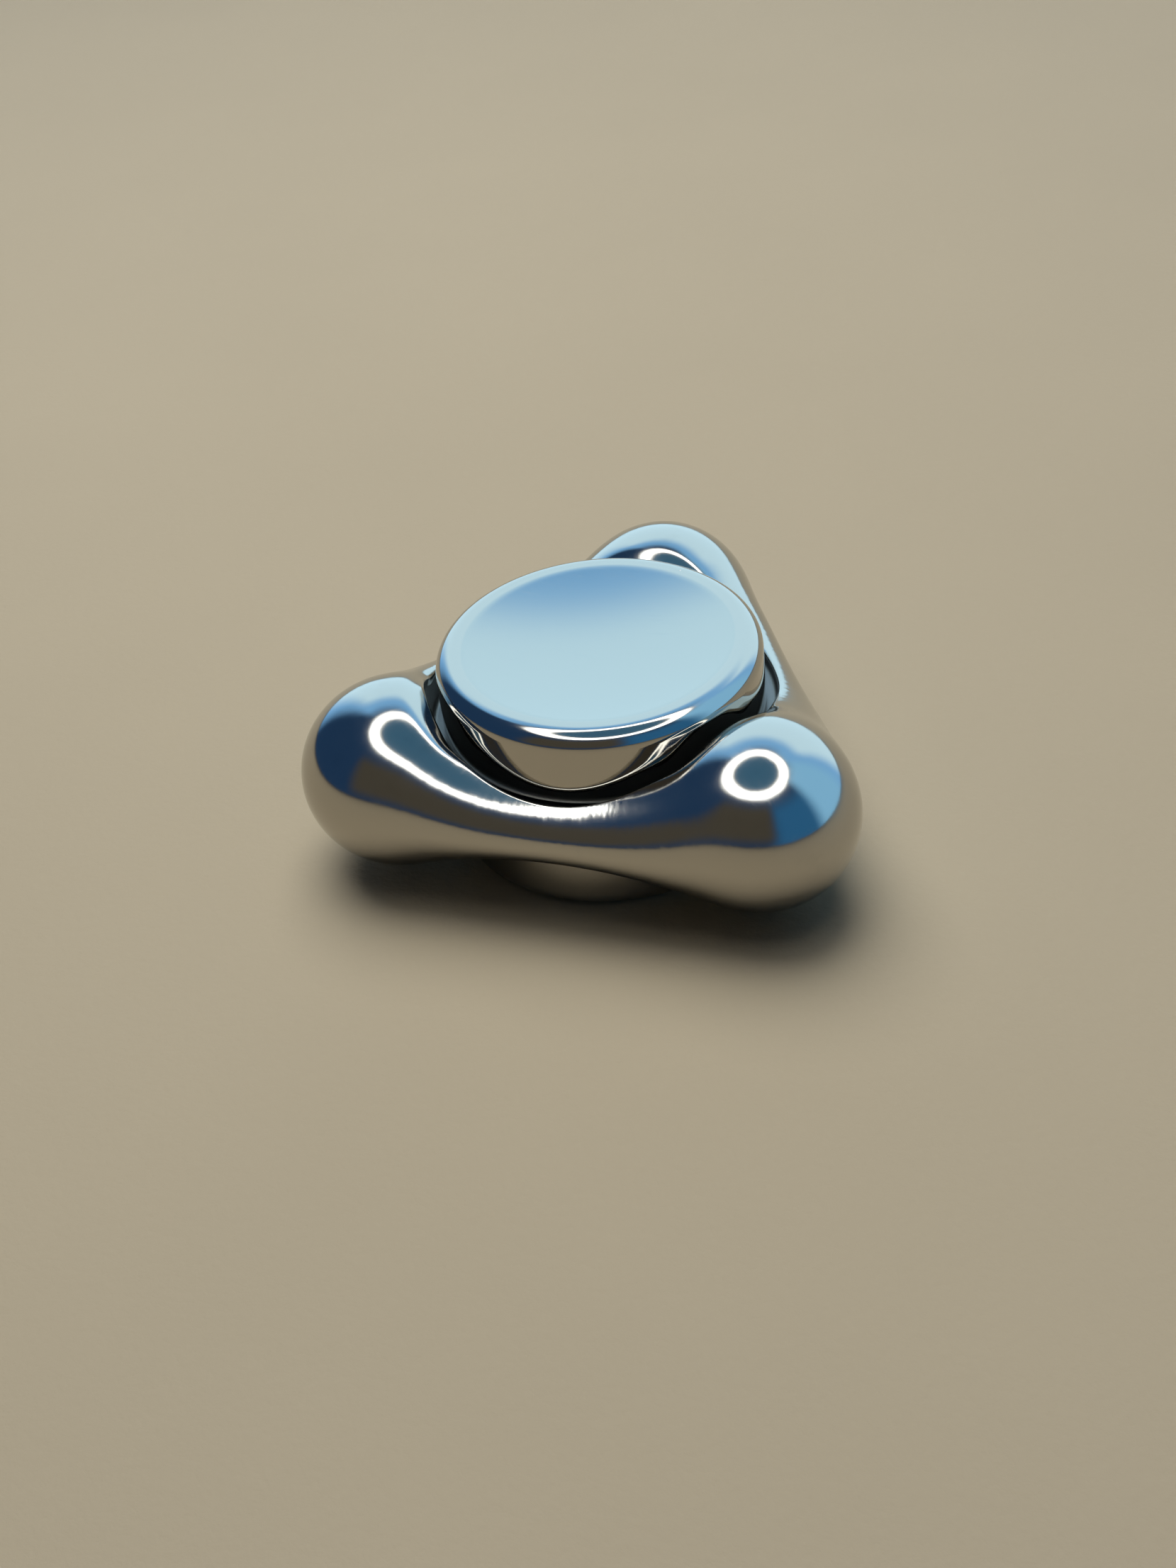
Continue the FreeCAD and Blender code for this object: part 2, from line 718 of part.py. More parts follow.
def make_spinner_body():
    """The one-piece body: the melted ring bored out for the caps, with the turned core inside."""
    bore = DOCUMENT.addObject("Part::Cylinder", "cap_recess")
    bore.setExpression("Radius", "Sizes.recess_radius")
    bore.setExpression("Height", "Sizes.lobe_radius * 4")
    bore.setExpression("Placement.Base.z", "-Sizes.lobe_radius * 2")
    ring = DOCUMENT.addObject("Part::Cut", "bored_ring")
    ring.Base = make_skin()
    ring.Tool = bore
    whole = DOCUMENT.addObject("Part::Fuse", "spinner_body")
    whole.Base = ring
    whole.Tool = make_core()
    whole.Label = "spinner_body"
    return whole


# ---------------------------------------------------------------- assembly


def check_document():
    """Stops if any object of the document failed to rebuild."""
    for item in DOCUMENT.Objects:
        if "Invalid" in item.State or "Error" in item.State:
            raise RuntimeError(f"{item.Label} is {item.State}")


def check_and_export(pieces):
    """Writes each piece to its own STEP file once all of them are sound."""
    for piece in pieces:
        shape = piece.Shape
        if shape.isNull() or not shape.isValid() or len(shape.Solids) != 1:
            raise RuntimeError(f"{piece.Label} isn't one valid solid")
    os.makedirs("parts", exist_ok=True)
    for piece in pieces:
        piece.Shape.exportStep(os.path.join("parts", f"{piece.Label}.step"))
        print(f"{piece.Label}: {piece.Shape.Volume:.2f} mm3")


def main():
    """Builds every piece of the spinner and writes it out."""
    pieces = [
        make_spinner_body(),
        make_cap("top_cap", flipped=False),
        make_cap("bottom_cap", flipped=True),
        make_stud(),
        make_clip(),
        make_inner_race(),
        make_outer_race(),
        make_cage(),
        make_shield("upper_shield", flipped=False),
        make_shield("lower_shield", flipped=True),
        make_wire("upper_shield_wire", flipped=False),
        make_wire("lower_shield_wire", flipped=True),
    ]
    pieces += [make_ball(number) for number in range(1, BALL_COUNT + 1)]
    DOCUMENT.recompute()
    check_document()
    check_and_export(pieces)


main()
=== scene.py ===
"""Studio looks for a three-lobed pocket spinner: polished body, thumb caps, bearing steels, stage."""

import math

import bmesh
import bpy
import numpy as np
from bpy.props import FloatProperty, FloatVectorProperty, PointerProperty
from bpy.types import Operator, Panel, PropertyGroup
from mathutils import Matrix, Vector


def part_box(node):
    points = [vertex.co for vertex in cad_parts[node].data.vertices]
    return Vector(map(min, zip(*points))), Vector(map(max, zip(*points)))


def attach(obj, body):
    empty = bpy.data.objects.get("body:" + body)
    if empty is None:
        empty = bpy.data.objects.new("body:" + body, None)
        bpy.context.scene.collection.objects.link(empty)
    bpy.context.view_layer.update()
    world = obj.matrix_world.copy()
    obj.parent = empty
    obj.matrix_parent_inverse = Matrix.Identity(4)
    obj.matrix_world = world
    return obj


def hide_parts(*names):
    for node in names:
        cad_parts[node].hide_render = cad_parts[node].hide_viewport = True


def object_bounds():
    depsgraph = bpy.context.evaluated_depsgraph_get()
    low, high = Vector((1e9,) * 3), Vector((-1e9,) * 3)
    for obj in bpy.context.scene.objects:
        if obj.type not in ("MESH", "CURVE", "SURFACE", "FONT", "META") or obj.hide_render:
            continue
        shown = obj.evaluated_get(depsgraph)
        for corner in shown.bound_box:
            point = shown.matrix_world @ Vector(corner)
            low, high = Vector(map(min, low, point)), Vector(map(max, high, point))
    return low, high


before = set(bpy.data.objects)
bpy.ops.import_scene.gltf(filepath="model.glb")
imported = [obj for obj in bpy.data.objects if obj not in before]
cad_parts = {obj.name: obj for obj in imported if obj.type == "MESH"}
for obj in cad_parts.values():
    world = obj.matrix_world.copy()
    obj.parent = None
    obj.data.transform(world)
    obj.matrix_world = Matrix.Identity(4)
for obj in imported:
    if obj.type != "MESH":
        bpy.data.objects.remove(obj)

bl_info = {
    "name": "Pocket Spinner Studio",
    "version": (1, 0, 0),
    "blender": (4, 5, 0),
    "location": "View3D > Sidebar > Spinner",
    "description": "Builds the polished body, the thumb caps, the steels and the stage of a pocket spinner",
    "category": "Object",
}

CAD_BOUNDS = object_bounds()
CAP_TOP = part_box("top_cap")[1]
BALL_NODES = sorted(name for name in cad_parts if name.startswith("bearing_ball_"))
LOBES = 3
MM = 0.001
HALVINGS = 34
SHARP_ANGLE = math.radians(32)

# The hub in the middle of the body and the seat it holds for the bearing, in millimetres.
HUB_RADIUS = 8.2
HUB_TOP = 3.3
HUB_BOTTOM = -2.89
HUB_BEVEL = 0.3
FOOT_ROUND = 0.4
SEAT_RADIUS = 6.36
SEAT_BOTTOM = -2.391
LIP_RADIUS = 5.75
GROOVE_RADIUS = 6.75
GROOVE_BOTTOM = 2.391
GROOVE_TOP = 2.931

# Small sizes of a cap, most of them inside it, in millimetres.
HOLLOW_RADIUS = 10.4
HOLLOW_TOP = 4.4
HOLLOW_ROUND = 0.3
BOSS_RADIUS = 3.95
BOSS_FACE = 2.381
SPIGOT_RADIUS = 3.16
SPIGOT_END = 0.5
SPIGOT_BEVEL = 0.15
HOLE_RADIUS = 2.0
HOLE_END = 5.0
HOLE_POINT = 0.58
SKIRT_BEVEL = 0.25
DISH_LIP = 0.2
LIP_DROP = 0.004
LAND_INSET = 0.05
MIDDLE_DISC = 0.05

# Soft panels round the part, later ones in front: degrees right of the view, half width, lower edge,
# upper edge and softness of the edges in degrees, and linear light.
PANELS = {
    "blue card": (138, 32, -20, 45, 12, (0.04, 0.20, 0.45)),
    "dark card": (205, 32, 5, 46, 8, (0.10, 0.09, 0.07)),
    "side softbox": (80, 36, -20, 62, 10, (0.40, 0.90, 1.40)),
    "high softbox": (15, 55, -20, 62, 9, (0.33, 0.78, 1.40)),
    "pale softbox": (15, 42, -20, 45, 8, (1.00, 1.45, 1.75)),
}
STUDIO_DARK = (0.022, 0.065, 0.16)
SOFT_WHITE = (0.93, 0.97, 1.0)
DIM_BLUE = (0.20, 0.58, 1.0)
FLOOR_SIZE = 3.0
BACKDROP_RADIUS = 1.45


def length(name, about, value):
    """A length property in metres."""
    return FloatProperty(name=name, description=about, default=value, unit="LENGTH", precision=5)


def turn(name, about, degrees):
    """An angle property, its default given in degrees."""
    return FloatProperty(name=name, description=about, default=math.radians(degrees), unit="ROTATION")


def number(name, about, value):
    """A plain number property."""
    return FloatProperty(name=name, description=about, default=value, precision=4)


def tint(name, about, value):
    """A linear colour property."""
    return FloatVectorProperty(name=name, description=about, default=value, subtype="COLOR", size=3)


# ---------------------------------------------------------------- properties


class SpinnerBodySizes(PropertyGroup):
    """Sizes of the melted body. A bar's sizes are given at the lobe, half-way and at the waist."""

    lobe_radius: length("Lobe radius", "Radius of each ball lobe before melting", 6.8 * MM)
    lobe_centre: length("Lobe centre", "Lobe centre's distance from the axis", 16.17 * MM)
    root_centre: length("Root centre", "Radius of a bar section's middle at a lobe", 15.1 * MM)
    middle_centre: length("Middle centre", "Radius of a bar section's middle half-way", 13.1 * MM)
    waist_centre: length("Waist centre", "Radius of a bar section's middle at the waist", 9.5 * MM)
    root_reach: length("Root reach", "Outer radius of a bar at a lobe", 20.4 * MM)
    middle_reach: length("Middle reach", "Outer radius of a bar half-way to its waist", 17.2 * MM)
    waist_reach: length("Waist reach", "Outer radius of a bar at its waist", 14.95 * MM)
    root_height: length("Root half height", "Half the height of a bar at a lobe", 5.65 * MM)
    middle_height: length("Middle half height", "Half the height of a bar half-way", 3.85 * MM)
    waist_height: length("Waist half height", "Half the height of a bar at its waist", 3.4 * MM)
    inner_width: length("Inner width", "Half the width of a bar's inner side", 1.9 * MM)
    turn_over: length("Turn-over", "How softly a bar's inner side meets its outer side", 0.55 * MM)
    softness: length("Blend softness", "How softly lobes and bars melt together", 0.87 * MM)
    recess: length("Recess radius", "Radius of the round recess for the caps", 12.9 * MM)
    edge: length("Recess edge", "How far the recess edge is rounded over", 0.35 * MM)
    web: length("Web half height", "Half the thickness of the web round the hub", 1.6 * MM)


class SpinnerCapSizes(PropertyGroup):
    """Sizes of a thumb cap."""

    radius: length("Cap radius", "Outside radius of the cap", CAP_TOP.x)
    height: length("Cap height", "Height of the cap's land above the bearing's middle", CAP_TOP.z)
    edge: length("Edge radius", "Radius of the rounded top edge", 1.4 * MM)
    dish: length("Dish radius", "Radius of the thumb dish", 9.96 * MM)
    depth: length("Dish depth", "Depth of the thumb dish", 1.0 * MM)
    skirt: length("Skirt height", "Height of the skirt's rim above the bearing's middle", 1.9 * MM)


class SpinnerFinish(PropertyGroup):
    """Colours and gloss of the metals."""

    mirror_colour: tint("Mirror steel", "Colour of the polished steel", (0.46, 0.44, 0.40))
    satin_colour: tint("Satin steel", "Colour of the thumb dish", (0.44, 0.435, 0.40))
    black_colour: tint("Black oxide", "Colour of the stud", (0.035, 0.035, 0.04))
    mirror_gloss: number("Mirror roughness", "Roughness of the polished steel", 0.10)
    satin_gloss: number("Satin roughness", "Roughness of the thumb dish", 0.15)


class SpinnerStage(PropertyGroup):
    """Camera, lamps and floor."""

    azimuth: turn("Camera azimuth", "Turn of the camera round the spin axis", 21.33)
    elevation: turn("Camera elevation", "Height of the camera above the horizon", 37.76)
    roll: turn("Camera roll", "Tilt of the camera about its view", -6.73)
    distance: length("Camera distance", "From the camera to its aim", 157.3 * MM)
    aim_right: length("Aim right", "Aim's distance right of the bearing", -1.9 * MM)
    aim_up: length("Aim up", "Aim's distance above the bearing in the view", -4.2 * MM)
    lens: number("Lens", "Focal length for a 36 mm sensor, in millimetres", 48.25)
    ring_inner: length("Ring lamp inner radius", "Inner radius of the ring lamp", 45 * MM)
    ring_outer: length("Ring lamp outer radius", "Outer radius of the ring lamp", 79 * MM)
    ring_place: FloatVectorProperty(
        name="Ring lamp place",
        description="Ring lamp's centre right of, ahead of and above the bearing in the view",
        default=(4.7 * MM, -22.5 * MM, 125 * MM),
        unit="LENGTH",
        size=3,
    )
    key_power: number("Key lamp", "Power of the soft key lamp in watts", 1.1)
    fill_power: number("Fill lamp", "Power of the wide fill lamp in watts", 3.0)
    floor_colour: tint("Floor", "Colour of the plain floor", (0.53, 0.46, 0.33))


# ---------------------------------------------------------------- mesh helpers


def link_mesh(name, points, quads):
    """A smooth-shaded mesh object in the scene."""
    mesh = bpy.data.meshes.new(name)
    mesh.from_pydata(points.tolist(), [], quads.tolist())
    mesh.validate()
    mesh.shade_smooth()
    piece = bpy.data.objects.new(name, mesh)
    bpy.context.scene.collection.objects.link(piece)
    return piece


def ring_quads(rings, around):
    """Quads of a grid that closes on itself both ways: rings by around."""
    row, column = np.meshgrid(np.arange(rings), np.arange(around), indexing="ij")
    after_row = (row + 1) % rings
    after_column = (column + 1) % around
    corners = [(row, column), (after_row, column), (after_row, after_column), (row, after_column)]
    return np.stack([r * around + c for r, c in corners], -1).reshape(-1, 4)


def arc(centre, radius, start, stop, steps):
    """Points on a round corner, angles in degrees, both ends kept."""
    angles = np.radians(np.linspace(start, stop, steps))
    return [(centre[0] + radius * math.cos(a), centre[1] + radius * math.sin(a)) for a in angles]


# ---------------------------------------------------------------- body shape


def along_bar(sizes, name, azimuth):
    """A bar's size at an azimuth from a lobe, drawn through its three given values."""
    root, middle, waist = (getattr(sizes, f"{place}_{name}") for place in ("root", "middle", "waist"))
    steady = (root + 2 * middle + waist) / 4
    once = (root - waist) / 2 * np.cos(LOBES * azimuth)
    twice = (root - 2 * middle + waist) / 4 * np.cos(2 * LOBES * azimuth)
    return steady + once + twice


def bar_and_lobe_depth(sizes, radius, azimuth, height):
    """Depth of points inside the lobes and bars, melted by a soft maximum. Azimuth is from a lobe."""
    half = along_bar(sizes, "height", azimuth)
    centre = along_bar(sizes, "centre", azimuth)
    outer_width = along_bar(sizes, "reach", azimuth) - centre
    outwards = 1 / (1 + np.exp(-(radius - centre) / sizes.turn_over))
    width = sizes.inner_width + (outer_width - sizes.inner_width) * outwards
    off_centre = np.hypot((radius - centre) / width, height / half)
    depths = [(1 - off_centre) * half]
    for lobe in range(LOBES):
        angle = azimuth - lobe * math.tau / LOBES
        x = radius * np.cos(angle) - sizes.lobe_centre
        y = radius * np.sin(angle)
        depths.append(sizes.lobe_radius - np.sqrt(x * x + y * y + height * height))
    depths = np.stack(np.broadcast_arrays(*depths))
    most = depths.max(0)
    return most + sizes.softness * np.log(np.exp((depths - most) / sizes.softness).sum(0))


def skin(sizes, azimuth, tilt):
    """Radius and height of the melted surface along rays from the middle of each section."""
    wall = 0.3 * MM
    inner = sizes.recess + wall
    swell = (1 + np.cos(LOBES * azimuth)) / 2
    middle = inner + (sizes.lobe_centre - inner) * swell
    beyond_skin = 12 * MM
    near = np.zeros(np.broadcast(azimuth, tilt).shape)
    far = np.full(near.shape, beyond_skin)
    for _ in range(HALVINGS):
        reach = (near + far) / 2
        radius = middle + reach * np.cos(tilt)
        inside = bar_and_lobe_depth(sizes, radius, azimuth, reach * np.sin(tilt)) > 0
        inside &= radius > 0
        near = np.where(inside, reach, near)
        far = np.where(inside, far, reach)
    return middle + near * np.cos(tilt), near * np.sin(tilt)


def edge_tilt(sizes, azimuth):
    """The tilt at which the surface meets the recess wall, for each azimuth."""
    low = np.zeros(azimuth.shape)
    high = np.full(azimuth.shape, math.pi)
    for _ in range(HALVINGS):
        tilt = (low + high) / 2
        outside = skin(sizes, azimuth, tilt)[0] > sizes.recess
        low = np.where(outside, tilt, low)
        high = np.where(outside, high, tilt)
    return low


def rounded_corner(start, corner, stop, steps):
    """Points between start and stop on a curve pulled towards the corner, ends left out."""
    share_along = np.linspace(0, 1, steps + 2)[1:-1, None, None]
    first = (1 - share_along) ** 2 * start
    second = 2 * share_along * (1 - share_along) * corner
    return first + second + share_along**2 * stop


def outer_sections(sizes, azimuth, steps=76, corner_steps=9):
    """Half sections of the skin from the middle of its outside to the recess wall, one per azimuth."""
    limit = edge_tilt(sizes, azimuth)
    corner = np.stack(skin(sizes, azimuth, limit))
    step = 0.02
    before = np.stack(skin(sizes, azimuth, limit - step))
    pace = np.linalg.norm(corner - before, axis=0) / step
    last = limit - sizes.edge / pace
    tilts = np.linspace(0, 1, steps)[:, None] * last
    surface = np.stack(skin(sizes, azimuth[None, :], tilts), -1)
    start = surface[-1]
    corner = corner.T
    stop = corner - np.array([0, sizes.edge])
    rounding = rounded_corner(start, corner, stop, corner_steps)
    return np.concatenate([surface, rounding, stop[None]])


def core_section(sizes):
    """The turned middle of the body from the upper recess wall down to the lower one."""
    web = sizes.web / MM
    recess = sizes.recess / MM
    under_round = FOOT_ROUND / 2
    points = arc((recess - FOOT_ROUND, web + FOOT_ROUND), FOOT_ROUND, 0, -90, 7)
    points += arc((HUB_RADIUS + FOOT_ROUND, web + FOOT_ROUND), FOOT_ROUND, 270, 180, 7)
    points += [(HUB_RADIUS, HUB_TOP - HUB_BEVEL), (HUB_RADIUS - HUB_BEVEL, HUB_TOP)]
    points += [(SEAT_RADIUS, HUB_TOP), (SEAT_RADIUS, GROOVE_TOP), (GROOVE_RADIUS, GROOVE_TOP)]
    points += [(GROOVE_RADIUS, GROOVE_BOTTOM), (SEAT_RADIUS, GROOVE_BOTTOM)]
    points += [(SEAT_RADIUS, SEAT_BOTTOM), (LIP_RADIUS, SEAT_BOTTOM), (LIP_RADIUS, HUB_BOTTOM)]
    points += [(HUB_RADIUS - HUB_BEVEL, HUB_BOTTOM), (HUB_RADIUS, HUB_BOTTOM + HUB_BEVEL)]
    points += arc((HUB_RADIUS + under_round, -web - under_round), under_round, 180, 90, 5)
    points += arc((recess - FOOT_ROUND, -web - FOOT_ROUND), FOOT_ROUND, 90, 0, 7)
    return np.array(points) * MM


def body_mesh(sizes, around=450):
    """The whole body as one closed grid of sections round the spin axis."""
    azimuth = np.arange(around) * math.tau / around
    upper = outer_sections(sizes, azimuth)
    lower = upper[:0:-1] * np.array([1, -1])
    core = np.repeat(core_section(sizes)[:, None, :], around, axis=1)
    section = np.concatenate([lower, upper, core])
    radius, height = section[..., 0], section[..., 1]
    turned = azimuth[None, :] + math.pi / 2
    points = np.stack([radius * np.cos(turned), radius * np.sin(turned), height], -1)
    quads = ring_quads(len(section), around)
    piece = link_mesh("polished_body", points.reshape(-1, 3), quads[:, ::-1])
    piece.data.set_sharp_from_angle(angle=SHARP_ANGLE)
    # Faces of the turned core take the second material. Its dark base colour is painted shade for the
    # recess and the gap under the caps.
    machined_shaded_core = np.arange(len(quads)) >= (len(lower) + len(upper) - 1) * around
    piece.data.polygons.foreach_set("material_index", machined_shaded_core.astype(np.int32))
    return piece


# ---------------------------------------------------------------- cap shape


def cap_section(sizes):
    """Section of a cap: dish, land, rounded edge, skirt, hollow, boss, spigot and blind hole."""
    radius = sizes.radius / MM
    top = sizes.height / MM
    edge = sizes.edge / MM
    dish = sizes.dish / MM
    depth = sizes.depth / MM
    rim = sizes.skirt / MM
    sphere = (dish * dish + depth * depth) / (2 * depth)
    widest = math.degrees(math.asin(dish / sphere))
    middle = (0.0, top - depth + sphere)
    near_middle = 0.05
    points = arc(middle, sphere, -90 + near_middle, -90 + widest * (1 - DISH_LIP / dish), 44)
    points += [(dish + DISH_LIP / 2, top - LIP_DROP), (dish + DISH_LIP, top)]
    points += [(radius - edge - LAND_INSET, top)]
    points += arc((radius - edge, top - edge), edge, 90, 0, 30)
    points += [(radius, rim + SKIRT_BEVEL), (radius - SKIRT_BEVEL, rim)]
    points += [(HOLLOW_RADIUS + SKIRT_BEVEL, rim), (HOLLOW_RADIUS, rim + SKIRT_BEVEL)]
    hollow = HOLLOW_TOP - HOLLOW_ROUND
    points += arc((HOLLOW_RADIUS - HOLLOW_ROUND, hollow), HOLLOW_ROUND, 0, 90, 6)
    points += arc((BOSS_RADIUS + HOLLOW_ROUND, hollow), HOLLOW_ROUND, 90, 180, 6)
    points += [(BOSS_RADIUS, BOSS_FACE), (SPIGOT_RADIUS, BOSS_FACE)]
    points += [(SPIGOT_RADIUS, SPIGOT_END + SPIGOT_BEVEL), (SPIGOT_RADIUS - SPIGOT_BEVEL, SPIGOT_END)]
    points += [(HOLE_RADIUS, SPIGOT_END), (HOLE_RADIUS, HOLE_END), (MIDDLE_DISC, HOLE_END + HOLE_POINT)]
    return np.array(points) * MM


def cap_mesh(sizes, name, flipped, around=360):
    """A cap turned on the spin axis, closed at its middle by two small discs."""
    section = cap_section(sizes)
    angle = np.arange(around) * math.tau / around
    x = section[:, None, 0] * np.cos(angle)
    y = section[:, None, 0] * np.sin(angle)
    z = np.repeat(section[:, 1][:, None], around, axis=1)
    points = np.stack([x, y, z], -1).reshape(-1, 3)
    if flipped:
        points = points * np.array([1, -1, -1])
    rings = len(section)
    keep = ring_quads(rings, around).reshape(rings, around, 4)[:-1].reshape(-1, 4)
    piece = link_mesh(name, points, keep)
    close_ring(piece.data, range(around - 1, -1, -1))
    close_ring(piece.data, range((rings - 1) * around, rings * around))
    piece.data.shade_smooth()
    piece.data.set_sharp_from_angle(angle=SHARP_ANGLE)
    return piece


def close_ring(mesh, ring):
    """Adds one face across a ring of vertices."""
    draft = bmesh.new()
    draft.from_mesh(mesh)
    draft.verts.ensure_lookup_table()
    draft.faces.new([draft.verts[index] for index in ring])
    draft.to_mesh(mesh)
    draft.free()


# ---------------------------------------------------------------- node helpers


class Shading:
    """Small helper that adds and joins the nodes of one material or world."""

    def __init__(self, tree):
        self.tree = tree

    def node(self, kind, inputs=None, **settings):
        """A node with some settings, and inputs given as values or as other sockets."""
        made = self.tree.nodes.new(kind)
        for key, value in settings.items():
            setattr(made, key, value)
        for key, value in (inputs or {}).items():
            self.put(made.inputs[key], value)
        return made

    def put(self, socket, value):
        """Sets a socket to a value or joins another socket to it."""
        if isinstance(value, bpy.types.NodeSocket):
            self.tree.links.new(value, socket)
        else:
            socket.default_value = value

    def math(self, operation, first, second=0.0, third=0.0):
        """One arithmetic step."""
        inputs = {0: first, 1: second, 2: third}
        return self.node("ShaderNodeMath", inputs, operation=operation).outputs[0]

    def band(self, value, low, high, bottom=0.0, top=1.0):
        """A smooth ramp of a value between two limits."""
        inputs = {"Value": value, "From Min": low, "From Max": high, "To Min": bottom, "To Max": top}
        return self.node("ShaderNodeMapRange", inputs, interpolation_type="SMOOTHSTEP").outputs[0]

    def noise(self, vector, scale, detail=2.0, rough=0.5):
        """Soft noise from 0 to 1."""
        inputs = {"Vector": vector, "Scale": scale, "Detail": detail, "Roughness": rough}
        return self.node("ShaderNodeTexNoise", inputs).outputs[0]

    def mix(self, share_of_second, first, second):
        """A colour between two."""
        made = self.node("ShaderNodeMix", data_type="RGBA")
        self.put(made.inputs[0], share_of_second)
        self.put(made.inputs[6], first)
        self.put(made.inputs[7], second)
        return made.outputs[2]

    def join(self, x, y, z):
        """A vector from three numbers."""
        return self.node("ShaderNodeCombineXYZ", {0: x, 1: y, 2: z}).outputs[0]

    def millimetres(self):
        """The piece's own coordinates in millimetres, as a vector and as x, y, z."""
        place = self.node("ShaderNodeTexCoord").outputs["Object"]
        scaled = self.node("ShaderNodeVectorMath", {0: place, "Scale": 1 / MM}, operation="SCALE")
        vector = scaled.outputs[0]
        split = self.node("ShaderNodeSeparateXYZ", {0: vector})
        return vector, split.outputs[0], split.outputs[1], split.outputs[2]

    def polar(self, x, y):
        """Radius and azimuth of a point round the spin axis."""
        square = self.math("ADD", self.math("MULTIPLY", x, x), self.math("MULTIPLY", y, y))
        return self.math("SQRT", square), self.math("ARCTAN2", y, x)

    def bump(self, height, depth, below=None):
        """A bump of a height from 0 to 1, its depth in millimetres."""
        inputs = {"Height": height, "Distance": depth * MM, "Strength": 1.0}
        if below is not None:
            inputs["Normal"] = below
        return self.node("ShaderNodeBump", inputs).outputs[0]


def colour(values):
    """Four channels from three."""
    return (*tuple(values)[:3], 1.0)


def metal(name, base, roughness=0.3):
    """A new metallic material: its helper, its shader and itself."""
    material = bpy.data.materials.new(name)
    material.use_nodes = True
    tree = material.node_tree
    shader = tree.nodes["Principled BSDF"]
    shader.inputs["Base Color"].default_value = colour(base)
    shader.inputs["Metallic"].default_value = 1.0
    shader.inputs["Roughness"].default_value = roughness
    return material, Shading(tree), shader


# ---------------------------------------------------------------- finishes


def mirror_steel(finish):
    """Hand-polished steel: soft ripples, polishing marks drawn across the bars, hairlines, smudges."""
    material, shade, shader = metal("mirror_steel", finish.mirror_colour)
    place, x, y, z = shade.millimetres()
    radius, azimuth = shade.polar(x, y)
    around = shade.math("MULTIPLY", azimuth, 14.0)
    from_lobe = shade.math("SUBTRACT", azimuth, math.pi / 2)
    lobe_wave = shade.math("COSINE", shade.math("MULTIPLY", from_lobe, float(LOBES)))
    on_bar = shade.band(lobe_wave, -0.2, 0.95, 1.0, 0.2)
    patchy = shade.noise(place, 0.45, 3.0)
    ripple = shade.noise(place, 0.22, 1.5)
    across = shade.join(around, shade.math("MULTIPLY", radius, 0.35), shade.math("MULTIPLY", z, 0.35))
    marks = shade.math("MULTIPLY", shade.noise(across, 2.4, 1.5, 0.4), on_bar)
    marks = shade.math("MULTIPLY", marks, shade.band(patchy, 0.35, 0.65, 0.4, 1.0))
    peel = shade.noise(place, 1.5, 2.5, 0.6)
    marks = shade.math("MULTIPLY_ADD", peel, 0.15, marks)
    hairline_place = shade.join(shade.math("MULTIPLY", around, 8.0), radius, z)
    hairlines = shade.noise(hairline_place, 0.7, 3.0, 0.7)
    scratched = shade.band(hairlines, 0.58, 0.78)
    rough = shade.math("MULTIPLY_ADD", scratched, 0.05, finish.mirror_gloss)
    rough = shade.math("MULTIPLY_ADD", shade.band(patchy, 0.45, 0.75), 0.035, rough)
    rough = shade.math("MULTIPLY_ADD", on_bar, 0.03, rough)
    shade.put(shader.inputs["Roughness"], rough)
    under = shade.bump(ripple, 0.006)
    shade.put(shader.inputs["Normal"], shade.bump(marks, 0.012, under))
    smudge = shade.band(shade.noise(place, 0.3, 4.0, 0.6), 0.55, 0.8, 0.0, 0.5)
    darker = [value * 0.86 for value in finish.mirror_colour]
    shade.put(shader.inputs["Base Color"], shade.mix(smudge, colour(finish.mirror_colour), colour(darker)))
    return material


